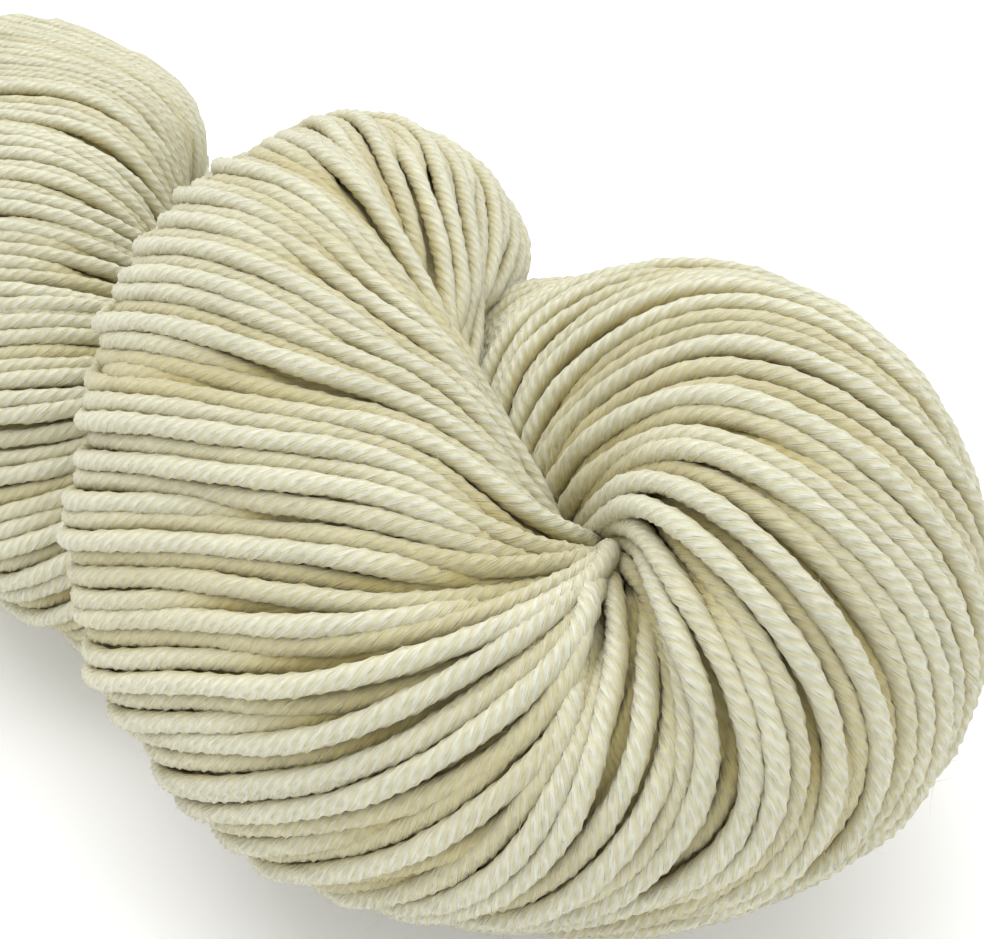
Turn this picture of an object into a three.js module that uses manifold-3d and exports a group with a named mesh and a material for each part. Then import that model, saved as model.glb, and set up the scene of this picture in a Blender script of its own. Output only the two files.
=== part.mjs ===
// A twisted hank of merino wool yarn, lying on its side.
// The wound skein is twisted, folded in half and plied on itself. So it has two soft limbs,
// joined by a fold at the +X end. At the -X end the end of the rear limb opens into a loop,
// and the end of the front limb is tucked through it.
// Millimetres, +Z up. The hank's long axis is X, and it rests on the plane z = 0.

import * as THREE from 'three';
import { mergeVertices } from 'three/addons/utils/BufferGeometryUtils.js';
import Module from 'manifold-3d';

const { degToRad, lerp, smoothstep } = THREE.MathUtils;

// The two limbs and the way they wind round the axis of the hank.
const limb = {
  offset: 21.1,          // axis of the hank to the middle of a limb
  depth: 19.2,           // middle of a limb to its outer face
  foldDepth: 17.2,       // the same at the tip of the fold
  plyPitch: 166.7,       // length in which the limbs go once round each other
  foldRun: 29.4,         // length of the fold, along the axis
  foldAngle: degToRad(65.9), // slope of the plane of the fold above the horizontal
  foldBlend: 12,         // length each side of the fold's tip where front becomes rear
  bendShare: 0.95,       // most that the inner face takes of the radius of the bend
};

// Middle of each limb to its inner face at the fold, the same beyond it, where the limbs
// press on each other, and to its edges.
const front = { inward: 21.9, pressed: 20.7, breadth: 22.8 };
const rear = { inward: 25.6, pressed: 24, breadth: 29.3 };

// How much fuller or slimmer than even the yarn lies. Each row is at a length from the fold,
// below 0 on the front limb, and its heights go round the limb in equal steps.
const fullness = {
  along: 24,
  around: degToRad(42),
  rows: [
    { at: -120, heights: [2, -4.4, -1.2, 0, 1.6, 1.7] },
    { at: -85, heights: [2, 0.2, -1.4, 1.1, -3.4, -4.8] },
    { at: -50, heights: [-3.5, 6.4, -6.5, -3.7, -1.5, -0.8] },
    { at: -18, heights: [0.1, -0.2, 1.5, -0.7, 4.2, 1.4] },
    { at: 14, heights: [-1.2, -1.4, 0.3, 1.7, -4.2, -0.3] },
    { at: 46, heights: [3, -1.6, 0, 0.1, 1.5, -0.4] },
    { at: 80, heights: [-0.7, 0, 0, 0, 6.3, 0.2] },
  ],
};

// Each limb is itself two bundles of yarn, twisted the other way round.
const bundle = {
  turnLength: 83.8,      // length of limb in which the bundles turn once
  grooveDepth: 1.7,
  grooveHalfWidth: degToRad(15),
  grooveAt: degToRad(100), // place of one groove round the limb, at the fold
};

// The tucked end: the front limb thins to a neck, held by the loop, and ends in a round knob.
const tuck = {
  start: 140,            // depth from the fold where the limbs begin to change
  neckAt: 187,
  neckEnd: 195,
  neckSize: 0.66,        // share of the full limb
  neckOffset: 0.04,      // share of the full offset, so the neck all but lies on the axis
  knobAt: 214,
  knobSize: 0.78,
  end: 231,
  rearRounding: 184,     // depth where the rear limb begins to close
  rearEnd: 196,          // depth where the rear limb has gone into the loop
  rearSize: 0.62,
};

// The loop that the end of the rear limb makes round the neck.
const loop = {
  at: 194,               // depth from the fold
  radius: 29,            // axis of the hank to the middle of the loop's yarn
  thickness: 13.5,       // half the thickness of the loop's yarn
  rootDepth: 168,        // depth where both ends of the loop leave the rear limb
  rootSpread: degToRad(24),
  bendFrom: 0.45,        // share of each half of the loop where it begins to turn back
  turnLength: 95,
};

// Lying on a table, the hank is pressed a little wider and lower, and flat where it touches.
const settle = {
  widen: 1.125,
  lower: 0.821,
  sag: 0.119,            // further widening at the bottom, and narrowing at the top
  softBelow: -33,        // height from the axis below which the yarn is pressed together
  softness: 0.55,
  flat: 0.8,             // height pressed flat where it rests
};

// The innermost yarn, along the axis where the limbs meet.
const heart = { radius: 9, from: 23, to: 150 };

// Sides and steps of the swept surfaces, and steps in which their lengths are measured.
const mesh = { limbSides: 28, limbSteps: 122, loopSides: 14, loopSteps: 40, lengthSteps: 1000 };

// Share of the full size that is left at the very end of a limb.
const endSize = 0.04;

const yarnMaterial = new THREE.MeshStandardMaterial({
  name: 'yarn',
  color: 0xd9d4ba,
  roughness: 0.95,
  metalness: 0,
});

const hankRadius = limb.offset + limb.depth;
const tableSize = 3 * tuck.end;

// Turn of the limbs round the axis of the hank, at a depth from the fold.
function plyAngle(depth) {
  return limb.foldAngle - (2 * Math.PI * depth) / limb.plyPitch;
}

// A point at a depth from the fold, an offset from the axis and an angle round it.
function pointAt(depth, offset, angle) {
  return new THREE.Vector3(-depth, offset * Math.cos(angle), offset * Math.sin(angle));
}

// The middle line of both limbs, from the knob of the front limb, round the fold, to the end
// of the rear limb. The fold is half an ellipse. Beyond it each limb is a helix.
class LimbPath extends THREE.Curve {
  getPoint(t, target = new THREE.Vector3()) {
    const onRear = t > frontShare;
    const run = onRear ? (t - frontShare) * wholeRun : (frontShare - t) * wholeRun;
    const quarter = Math.min(run / foldArc, 1) * (Math.PI / 2);
    const depth = limb.foldRun * (1 - Math.cos(quarter)) + Math.max(run - foldArc, 0) * advance;
    const straight = limb.offset * Math.sin(quarter);
    const offset = onRear
      ? lerp(straight, loop.radius, smoothstep(depth, tuck.start, tuck.rearEnd))
      : -straight * lerp(1, tuck.neckOffset, smoothstep(depth, tuck.start, tuck.neckAt));
    return target.copy(pointAt(depth, offset, plyAngle(depth)));
  }
}

// Length of a quarter of the fold, and the axial advance for each length of limb beyond it.
const foldArc = (Math.PI / 2) * Math.sqrt((limb.offset ** 2 + limb.foldRun ** 2) / 2);
const advance = 1 / Math.hypot(1, (2 * Math.PI * limb.offset) / limb.plyPitch);
const frontRun = foldArc + (tuck.end - limb.foldRun) / advance;
const rearRun = foldArc + (tuck.rearEnd - limb.foldRun) / advance;
const wholeRun = frontRun + rearRun;
const frontShare = frontRun / wholeRun;

// The loop leaves the rear limb, passes round the neck on both sides and closes behind it.
class LoopPath extends THREE.Curve {
  getPoint(t, target = new THREE.Vector3()) {
    const side = 2 * t - 1;
    const turn = side < 0 ? -1 : 1;
    const back = smoothstep(Math.abs(side), loop.bendFrom, 1);
    const depth = lerp(loop.at, loop.rootDepth, back);
    const open = lerp(Math.PI, loop.rootSpread, Math.abs(side));
    const offset = lerp(loop.radius, limb.offset, back);
    return target.copy(pointAt(depth, offset, plyAngle(depth) + turn * open));
  }
}

// Size of the limb at a depth from the fold, as a share of its full size.
function limbSize(depth, onRear) {
  if (onRear) {
    const end = roundedEnd(depth, tuck.rearRounding, tuck.rearEnd);
    return lerp(1, tuck.rearSize, smoothstep(depth, tuck.start, tuck.rearEnd)) * end;
  }
  const neck = lerp(1, tuck.neckSize, smoothstep(depth, tuck.start, tuck.neckAt));
  const knob = (tuck.knobSize - tuck.neckSize) * smoothstep(depth, tuck.neckEnd, tuck.knobAt);
  return (neck + knob) * roundedEnd(depth, tuck.knobAt, tuck.end);
}

// A quarter circle that closes a limb between two depths.
function roundedEnd(depth, from, to) {
  const past = THREE.MathUtils.clamp((depth - from) / (to - from), 0, 1);
  return Math.sqrt(Math.max(1 - past ** 2, endSize ** 2));
}

// How much two opposite grooves take off at an angle round the limb.
function groove(angle) {
  const fromGroove = Math.asin(Math.sin(angle - bundle.grooveAt));
  return bundle.grooveDepth * Math.exp(-((fromGroove / bundle.grooveHalfWidth) ** 2));
}

// Carries a section along a path. A closed cylinder is bent onto the path, and its ends close
// the piece. The section gives outward and sideways reach for an angle, and its lines turn
// with the twist of the yarn.
function sweep(path, sides, steps, outwardFrom, section) {
  const cylinder = new THREE.CylinderGeometry(1, 1, 1, sides, steps, false);
  const place = cylinder.attributes.position;
  const local = new THREE.Vector3();
  for (let i = 0; i < place.count; i += 1) {
    local.fromBufferAttribute(place, i);
    const share = local.y + 0.5;
    const middle = path.getPointAt(share);
    const along = path.getTangentAt(share);
    const outward = middle.clone().sub(outwardFrom(middle));
    outward.addScaledVector(along, -outward.dot(along)).normalize();
    const sideways = along.clone().cross(outward);
    const onWall = Math.min(Math.hypot(local.x, local.z), 1);
    const reach = section(Math.atan2(-local.z, local.x), share, middle);
    middle.addScaledVector(outward, reach.x * onWall);
    middle.addScaledVector(sideways, reach.y * onWall);
    place.setXYZ(i, middle.x, middle.y, middle.z);
  }
  return cylinder;
}

// The nearest point of the hank's axis, and within the fold the middle of the fold.
function innerPoint(middle) {
  return new THREE.Vector3(Math.min(middle.x, -limb.foldRun), 0, 0);
}

// Radius of the fold's bend, for a length as a share of the fold.
function bendRadius(pastFold) {
  const quarter = Math.min(pastFold, 1) * (Math.PI / 2);
  const run = limb.foldRun * Math.sin(quarter);
  const rise = limb.offset * Math.cos(quarter);
  return Math.hypot(run, rise) ** 3 / (limb.foldRun * limb.offset);
}

// Adds up the bumps of the fullness table at a length from the fold and an angle.
function extra(fromFold, angle) {
  let height = 0;
  for (const row of fullness.rows) {
    const along = Math.exp(-(((fromFold - row.at) / fullness.along) ** 2));
    row.heights.forEach((bump, column) => {
      const away = angle - (2 * Math.PI * column) / row.heights.length;
      const turned = Math.atan2(Math.sin(away), Math.cos(away));
      height += bump * along * Math.exp(-((turned / fullness.around) ** 2));
    });
  }
  return height;
}

function limbSection(thread, share, middle) {
  const fromFold = share * limbLength - foldAt;
  const angle = thread - (2 * Math.PI * fromFold) / bundle.turnLength;
  const size = limbSize(-middle.x, fromFold > 0);
  const pastFold = Math.abs(fromFold) / foldArc;
  const side = smoothstep(fromFold, -limb.foldBlend, limb.foldBlend);
  const edge = lerp(front.breadth, rear.breadth, side);
  const breadth = lerp(limb.depth, edge, Math.min(pastFold, 1));
  const outer = lerp(limb.foldDepth, limb.depth, Math.min(pastFold, 1));
  const atFold = lerp(front.inward, rear.inward, side);
  const beyond = lerp(front.pressed, rear.pressed, side);
  const wanted = lerp(atFold, beyond, smoothstep(pastFold, 1, 2));
  const inner = Math.min(wanted, limb.bendShare * bendRadius(pastFold));
  const out = Math.cos(angle) > 0 ? outer : inner;
  const reach = new THREE.Vector2(out * Math.cos(angle), breadth * Math.sin(angle));
  const trim = groove(thread) / limb.depth;
  const bump = extra(fromFold, angle) / reach.length();
  return reach.multiplyScalar(size * (1 + bump - trim));
}

function loopSection(thread, share) {
  const angle = thread - (2 * Math.PI * share * loopLength) / loop.turnLength;
  return new THREE.Vector2(Math.cos(angle), Math.sin(angle)).multiplyScalar(loop.thickness);
}

function pressed(height) {
  const below = Math.min(height - settle.softBelow, 0);
  return height - below * (1 - settle.softness);
}

// Presses the wound form wider and lower, as its own weight does.
function settled(geometry) {
  const place = geometry.attributes.position;
  for (let i = 0; i < place.count; i += 1) {
    const y = place.getY(i);
    const z = place.getZ(i);
    place.setY(i, y * settle.widen * (1 - (settle.sag * z) / hankRadius));
    place.setZ(i, pressed(z * settle.lower));
  }
  return geometry;
}

const limbPath = new LimbPath();
limbPath.arcLengthDivisions = mesh.lengthSteps;
const limbLength = limbPath.getLength();
const foldAt = limbPath.getLengths()[Math.round(frontShare * mesh.lengthSteps)];

const loopPath = new LoopPath();
loopPath.arcLengthDivisions = mesh.lengthSteps;
const loopLength = loopPath.getLength();

const wasm = await Module();
wasm.setup();

function toSolid(geometry) {
  const bare = geometry.clone();
  bare.deleteAttribute('normal');
  bare.deleteAttribute('uv');
  const welded = mergeVertices(bare, 1e-4);
  return new wasm.Manifold(new wasm.Mesh({
    numProp: 3,
    vertProperties: new Float32Array(welded.attributes.position.array),
    triVerts: new Uint32Array(welded.index.array),
  }));
}

function toGeometry(solid) {
  const shape = solid.getMesh();
  const geometry = new THREE.BufferGeometry();
  geometry.setAttribute('position', new THREE.BufferAttribute(shape.vertProperties, 3));
  geometry.setIndex(new THREE.BufferAttribute(shape.triVerts, 1));
  geometry.computeVertexNormals();
  return geometry;
}

function makeHank() {
  const limbs = sweep(limbPath, mesh.limbSides, mesh.limbSteps, innerPoint, limbSection);
  const ring = sweep(loopPath, mesh.loopSides, mesh.loopSteps, innerPoint, loopSection);
  const inner = new THREE.CapsuleGeometry(heart.radius, heart.to - heart.from, 4, 10);
  inner.rotateZ(Math.PI / 2).translate(-(heart.from + heart.to) / 2, 0, 0);
  const wound = toSolid(settled(limbs)).add(toSolid(settled(ring))).add(toSolid(inner));
  const underside = pressed(-hankRadius * settle.lower) + settle.flat;
  const table = new THREE.BoxGeometry(tableSize, tableSize, hankRadius);
  table.translate(0, 0, underside - hankRadius / 2);
  const hank = toGeometry(wound.subtract(toSolid(table)));
  hank.computeBoundingBox();
  const middle = hank.boundingBox.getCenter(new THREE.Vector3());
  hank.translate(-middle.x, -middle.y, -hank.boundingBox.min.z);
  const result = new THREE.Mesh(hank, yarnMaterial);
  result.name = 'hank';
  return result;
}

const group = new THREE.Group();
group.name = 'twisted_hank';
group.add(makeHank());

export default group;
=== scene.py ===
# %% [markdown]
# # A twisted hank of merino wool
#
# A hank is a wound loop of yarn that has been twisted, folded in half and left to ply on
# itself. The solid gives its form: two soft limbs round one axis, a fold at one end and a
# tucked loop at the other. This lesson covers that form with real strands, each made of four
# plies, and gives them a wool finish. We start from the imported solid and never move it.

# %% The frame
import math
import bpy
import numpy as np
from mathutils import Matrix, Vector


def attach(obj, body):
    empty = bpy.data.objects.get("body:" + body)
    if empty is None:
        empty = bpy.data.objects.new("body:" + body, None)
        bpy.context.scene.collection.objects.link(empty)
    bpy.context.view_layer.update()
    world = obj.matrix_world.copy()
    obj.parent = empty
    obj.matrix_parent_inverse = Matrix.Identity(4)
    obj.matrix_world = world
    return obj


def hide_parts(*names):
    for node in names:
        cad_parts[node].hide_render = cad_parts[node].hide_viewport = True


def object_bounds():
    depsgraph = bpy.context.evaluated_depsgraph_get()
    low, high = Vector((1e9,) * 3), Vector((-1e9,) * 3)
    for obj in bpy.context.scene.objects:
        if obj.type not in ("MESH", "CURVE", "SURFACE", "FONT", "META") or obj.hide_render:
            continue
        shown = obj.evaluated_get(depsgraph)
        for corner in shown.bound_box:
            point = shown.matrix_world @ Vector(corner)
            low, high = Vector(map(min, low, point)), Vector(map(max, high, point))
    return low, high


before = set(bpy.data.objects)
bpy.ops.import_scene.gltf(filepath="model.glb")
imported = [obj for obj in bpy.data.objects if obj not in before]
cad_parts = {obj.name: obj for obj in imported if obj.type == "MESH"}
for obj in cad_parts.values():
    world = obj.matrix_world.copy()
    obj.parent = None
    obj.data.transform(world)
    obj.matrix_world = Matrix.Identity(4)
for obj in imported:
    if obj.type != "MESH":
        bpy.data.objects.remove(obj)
solid_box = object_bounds()
print("solid from", tuple(solid_box[0]), "to", tuple(solid_box[1]))

# %% [markdown]
# ## The wound form
#
# We could read the form from the solid's triangles, but the strands need more than a surface.
# They need to know which way the yarn runs. So we work the form out again from the same few
# sizes: a middle line for the limbs, and a soft oval section carried along it. All sizes in
# this part are millimetres, and become metres when a mesh is made.

# %% Units and small helpers
MM = 0.001
TURN = 2 * np.pi


def mix(a, b, share):
    """a where share is 0, b where it is 1, and a straight line between."""
    return a + (b - a) * share


def smooth(x, start, end):
    """0 before start, 1 after end, and 3t^2 - 2t^3 between, where t runs from 0 to 1."""
    t = np.clip((x - start) / (end - start), 0, 1)
    return t * t * (3 - 2 * t)


def unit(v):
    """Each vector divided by its length."""
    return v / np.maximum(np.linalg.norm(v, axis=-1, keepdims=True), 1e-12)


print("a smooth step from 0 to 1:", smooth(np.linspace(0, 1, 5), 0, 1).round(2))

# %% [markdown]
# ## The middle lines
#
# Both limbs are one bundle of yarn. It comes from the far end, rounds the fold and goes back,
# and the two halves wind round each other. A curve object could be bent by hand to look like
# that. A formula is better here, because the strands then agree with the solid to a fraction
# of a millimetre. Depth is the distance from the fold along the axis of the hank.

# %% Sizes of the limbs' middle line
limb_offset = 21.1            # axis of the hank to the middle of a limb
ply_pitch = 166.7             # depth in which the limbs go once round each other
fold_run = 29.4               # depth of the fold
fold_angle = math.radians(65.9)  # slope of the plane of the fold above the horizontal
tuck_start = 140.0            # depth at which the limbs begin to be tucked
neck_at, neck_offset = 187.0, 0.04  # depth of the front limb's neck, and its share of the
                              # offset there
front_end, rear_end = 231.0, 196.0  # depth at which each limb ends
loop_radius = 29.0            # axis of the hank to the middle of the tucked loop

fold_arc = np.pi / 2 * math.sqrt((limb_offset**2 + fold_run**2) / 2)
advance = 1 / math.hypot(1, TURN * limb_offset / ply_pitch)
front_run = fold_arc + (front_end - fold_run) / advance
rear_run = fold_arc + (rear_end - fold_run) / advance
print("each side of the fold is", round(fold_arc, 1), "mm long")


# %% The limbs' middle line
def ply_angle(depth):
    """Turn of the limbs round the axis: it falls by one turn in each ply pitch."""
    return fold_angle - TURN * depth / ply_pitch


def round_axis(depth, offset, angle):
    """Point at a depth from the fold, an offset from the axis and an angle round it."""
    return np.stack([-depth, offset * np.cos(angle), offset * np.sin(angle)], -1)


def limb_line(run):
    """Middle line of both limbs. run is 0 at the tip of the fold, below 0 on the front limb.

    Within the fold the line is half an ellipse: depth is 1 - cos q and offset is sin q.
    Beyond it the offset stays and the line is a helix, until the limbs are tucked.
    """
    length = np.abs(run)
    quarter = np.minimum(length / fold_arc, 1) * np.pi / 2
    depth = fold_run * (1 - np.cos(quarter)) + np.maximum(length - fold_arc, 0) * advance
    straight = limb_offset * np.sin(quarter)
    rear = mix(straight, loop_radius, smooth(depth, tuck_start, rear_end))
    front = -straight * mix(1, neck_offset, smooth(depth, tuck_start, neck_at))
    return round_axis(depth, np.where(run > 0, rear, front), ply_angle(depth))


print("the limbs end at", limb_line(np.array([-front_run, rear_run])).round(1).tolist())

# %% The loop's middle line
loop_at, loop_root = 194.0, 168.0  # depth of the loop's middle, and of its two roots
loop_spread = math.radians(24)     # angle between a root and the rear limb
loop_bend = 0.45                   # share of each side after which the loop bends back


def loop_line(side):
    """Middle line of the loop round the neck. side runs from -1 to 1.

    The angle opens from the rear limb by half a turn each way, and the depth bends back.
    """
    back = smooth(np.abs(side), loop_bend, 1)
    depth = mix(loop_at, loop_root, back)
    opening = mix(np.pi, loop_spread, np.abs(side))
    offset = mix(loop_radius, limb_offset, back)
    return round_axis(depth, offset, ply_angle(depth) + np.where(side < 0, -1, 1) * opening)


print("the loop's roots are at", loop_line(np.array([-1.0, 1.0])).round(1).tolist())

# %% [markdown]
# ## A form: a line that knows its directions
#
# To place anything on a limb we need to know, at each length, which way is along it, which
# way is outwards and which is sideways. We store these as even rows in a small dictionary,
# and call it a form. There are two forms: the limbs together, and the loop.

# %% A form
form_step = 0.5               # length from row to row of a form
limb_turn, loop_turn = 83.8, 95.0  # length in which the strands turn once round limb or loop


def make_form(line, zero, spacing, turn_length):
    """Resamples a fine line at equal steps, with the directions along, outward and sideways.

    zero is the number of the line's point that has length 0. Outward points away from the
    hank's axis, or within the fold away from the fold's middle. Sideways is the cross
    product of along and outward.
    """
    steps = np.linalg.norm(np.diff(line, axis=0), axis=1)
    length = np.concatenate([[0], np.cumsum(steps)])
    length -= length[zero]
    s = np.arange(np.ceil(length[0] / spacing), np.floor(length[-1] / spacing) + 1) * spacing
    middle = np.stack([np.interp(s, length, line[:, k]) for k in range(3)], -1)
    along = unit(np.gradient(middle, axis=0))
    inner = np.zeros_like(middle)
    inner[:, 0] = np.minimum(middle[:, 0], -fold_run)
    outward = middle - inner
    outward = unit(outward - along * (outward * along).sum(-1, keepdims=True))
    return {
        "s": s, "middle": middle, "along": along, "outward": outward,
        "sideways": np.cross(along, outward), "turn": turn_length,
    }


fine_run = np.linspace(-front_run, rear_run, 20001)
limbs = make_form(
    limb_line(fine_run), int(np.argmin(np.abs(fine_run))), form_step, limb_turn
)
loop = make_form(loop_line(np.linspace(-1, 1, 8001)), 0, form_step, loop_turn)
print("limbs", round(np.ptp(limbs["s"])), "mm long, loop", round(np.ptp(loop["s"])), "mm")

# %% [markdown]
# ## How thick the limbs are
#
# No limb is round. Where two limbs press on each other they are flat, at the fold they are
# pulled tight, and at the far end the front limb narrows to a neck, goes through the loop and
# swells to a knob. So a section has an outer, an inner and a sideways reach, and each changes
# smoothly with the length.

# %% Sizes of the sections
limb_depth, fold_depth = 19.2, 17.2  # middle to outer face, beyond the fold and at its tip
inner_depth = (21.9, 25.6)    # front and rear limb, middle to inner face at the fold
pressed_depth = (20.7, 24.0)  # the same beyond it, where the limbs press on each other
limb_breadth = (22.8, 29.3)   # front and rear limb, middle to edges
bend_share = 0.95             # most that the inner face takes of the radius of the bend
fold_blend = 12.0             # length each side of the fold's tip where front becomes rear
neck_size, neck_end = 0.66, 195.0  # size of the neck, and the depth at which it ends
knob_size, knob_at = 0.78, 214.0  # size of the knob, and the depth at which it starts to close
rear_size, rear_rounding = 0.62, 184.0  # the same of the rear limb's end
end_size = 0.04               # least size of a closed end
groove_depth = 1.7            # between the two bundles of each limb
loop_thickness = 13.5         # middle to surface of the loop


def rounded_end(depth, start, end):
    """A quarter circle that closes a limb between two depths."""
    past = np.clip((depth - start) / (end - start), 0, 1)
    return np.sqrt(np.maximum(1 - past**2, end_size**2))


print("the loop is", 2 * loop_thickness, "mm thick, a limb", 2 * limb_depth)

# %% Size along the limbs
depth = -limbs["middle"][:, 0]
neck = mix(1, neck_size, smooth(depth, tuck_start, neck_at))
knob = (knob_size - neck_size) * smooth(depth, neck_end, knob_at)
front_size = (neck + knob) * rounded_end(depth, knob_at, front_end)
rear_limb_size = mix(1, rear_size, smooth(depth, tuck_start, rear_end))
rear_limb_size = rear_limb_size * rounded_end(depth, rear_rounding, rear_end)
size = np.where(limbs["s"] > 0, rear_limb_size, front_size)
past_fold = np.abs(limbs["s"]) / fold_arc
rear_side = smooth(limbs["s"], -fold_blend, fold_blend)
print("size of the limbs from", size.min().round(2), "to", size.max().round(2))

# %% Reach of the sections
# The inner face stays within the radius of the bend, which for an ellipse is
# hypot(run * sin q, offset * cos q) ^ 3 / (run * offset), so it never crosses itself.
quarter = np.minimum(past_fold, 1) * np.pi / 2
bend = np.hypot(fold_run * np.sin(quarter), limb_offset * np.cos(quarter)) ** 3
bend = bend_share * bend / (fold_run * limb_offset)
at_fold, beyond = mix(*inner_depth, rear_side), mix(*pressed_depth, rear_side)
inner = np.minimum(mix(at_fold, beyond, smooth(past_fold, 1, 2)), bend)
edge = mix(*limb_breadth, rear_side)
limbs["size"] = size
limbs["outer"] = size * mix(fold_depth, limb_depth, np.minimum(past_fold, 1))
limbs["inner"] = size * inner
limbs["breadth"] = size * mix(limb_depth, edge, np.minimum(past_fold, 1))
limbs["groove"] = groove_depth * size

loop["outer"] = loop["inner"] = loop["breadth"] = np.full(len(loop["s"]), loop_thickness)
loop["groove"] = np.zeros(len(loop["s"]))
loop["size"] = np.zeros(len(loop["s"]))
print("the limbs' inner face is", inner.min().round(1), "to", inner.max().round(1), "mm deep")

# %% [markdown]
# ## Points on the form
#
# Every strand and every soft core is placed by the same rule: a length along the limb, an
# angle round its section, and how deep below the surface it lies. After that the whole hank
# is settled, a little wider and lower, and flat where it lies. Sculpting could do this too,
# but a rule gives every strand its place without a single stroke.

# %% How full the yarn lies
# Rows of the table are at these lengths from the fold, and their heights go round the limb in
# equal steps. They say how many millimetres fuller or slimmer than even the yarn lies.
full_at = np.array([-120, -85, -50, -18, 14, 46, 80])
full_heights = np.array([
    [2, -4.4, -1.2, 0, 1.6, 1.7],
    [2, 0.2, -1.4, 1.1, -3.4, -4.8],
    [-3.5, 6.4, -6.5, -3.7, -1.5, -0.8],
    [0.1, -0.2, 1.5, -0.7, 4.2, 1.4],
    [-1.2, -1.4, 0.3, 1.7, -4.2, -0.3],
    [3, -1.6, 0, 0.1, 1.5, -0.4],
    [-0.7, 0, 0, 0, 6.3, 0.2],
])
full_along, full_around = 24.0, math.radians(42)  # reach of one bump


def extra(s, v):
    """Sum of the fullness table's bumps, each exp(-(ds / along)^2) * exp(-(dv / around)^2)."""
    height = np.zeros_like(v)
    for at, row in zip(full_at, full_heights):
        along = np.exp(-(((s - at) / full_along) ** 2))
        for column, bump in enumerate(row):
            away = v - TURN * column / len(row)
            away = np.arctan2(np.sin(away), np.cos(away))
            height = height + bump * along * np.exp(-((away / full_around) ** 2))
    return height


print("heights of fullness from", full_heights.min(), "to", full_heights.max(), "mm")

# %% How the hank settles
widen, lower = 1.125, 0.821   # wider and lower by its own weight
sag = 0.119                   # how much wider it gets below than above
soft_below, softness = -33.0, 0.55  # height below which the underside gives way, and the
                              # share of its height that it keeps
flat = 0.8                    # mm of the underside that lie flat on the table
hank_radius = limb_offset + limb_depth


def settled(points):
    """Widens and lowers the wound form, and presses its underside.

    y grows by widen * (1 - sag * z / radius), z shrinks by lower, and what is below
    soft_below is squeezed by softness.
    """
    y = points[..., 1] * widen * (1 - sag * points[..., 2] / hank_radius)
    z = points[..., 2] * lower
    z = z - np.minimum(z - soft_below, 0) * (1 - softness)
    return np.stack([points[..., 0], y, z], -1)


top_and_bottom = settled(np.array([[0, 0, hank_radius], [0, 0, -hank_radius]]))
print("from", hank_radius, "mm, top and bottom settle to", top_and_bottom[:, 2].round(1))

# %% From length, angle and inset to a place
groove_at = math.radians(100)  # where the groove lies round the section at length 0
groove_half_width = math.radians(15)
shift = np.zeros(3)           # set below, once the form has been measured


def on_form(form, s, v, inset, table_gap=0.0):
    """Place at length s, section angle v and inset below the surface, in the frame's mm.

    The reach is outer * cos v outwards, or inner * cos v inwards, and breadth * sin v
    sideways, less the groove, which turns with the twist, and plus the fullness. table_gap
    is the least height above the table.
    """
    at = (s - form["s"][0]) / (form["s"][1] - form["s"][0])
    at = np.clip(at, 0, len(form["s"]) - 1.001)
    low = at.astype(int)
    part = at - low

    def taken(name):
        """The form's value, on a straight line between its rows."""
        column = form[name]
        weight = part[..., None] if column.ndim == 2 else part
        return column[low] * (1 - weight) + column[low + 1] * weight

    outwards = np.where(np.cos(v) > 0, taken("outer"), taken("inner")) * np.cos(v)
    across = taken("breadth") * np.sin(v)
    whole = np.maximum(np.hypot(outwards, across), 1e-6)
    from_groove = np.arcsin(np.sin(v + TURN * s / form["turn"] - groove_at))
    cut = taken("groove") * np.exp(-((from_groove / groove_half_width) ** 2))
    cut = cut - taken("size") * extra(s, v)
    share = np.maximum(1 - (cut + inset) / whole, 0)
    place = taken("middle")
    place = place + (share * outwards)[..., None] * unit(taken("outward"))
    place = place + (share * across)[..., None] * unit(taken("sideways"))
    place = settled(place) + shift
    if table_gap:
        place[..., 2] += np.maximum(table_gap - place[..., 2], 0)
    return place


tip_faces = on_form(limbs, np.zeros(2), np.array([0, np.pi]), np.zeros(2))
tip_depth = np.linalg.norm(tip_faces[0] - tip_faces[1])
print("at its tip the fold is", tip_depth.round(1), "mm deep")

# %% Where the form lies
# The solid was centred on its own box. The same is done here, from the frame's box.
skins = []
for form in (limbs, loop):
    grid_s, grid_v = np.meshgrid(form["s"], np.linspace(0, TURN, 180), indexing="ij")
    skins.append(on_form(form, grid_s, grid_v, np.zeros_like(grid_s)).reshape(-1, 3))
skin = np.concatenate(skins)
low_corner, high_corner = np.array(solid_box[0]) / MM, np.array(solid_box[1]) / MM
underside = -hank_radius * lower
underside = underside - (underside - soft_below) * (1 - softness) + flat
shift = (low_corner + high_corner - skin.min(0) - skin.max(0)) / 2
shift[2] = -underside
print("shift of the wound form", shift.round(2), "mm")
print("from the solid's box, below", (skin.min(0) + shift - low_corner).round(2))
print("and above", (skin.max(0) + shift - high_corner).round(2))

# %% [markdown]
# ## Which way the strands lie
#
# A strand does not follow its limb. The limb is a twisted rope, so its strands wind round it,
# and near the fold they are pulled tight and swirl into the eye. We describe that with one
# number for each place on a limb, its label. All places with the same label lie on the same
# strand. The label is the section's angle, plus a steady turn with length, plus a slow drift
# that a small table holds.

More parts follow.
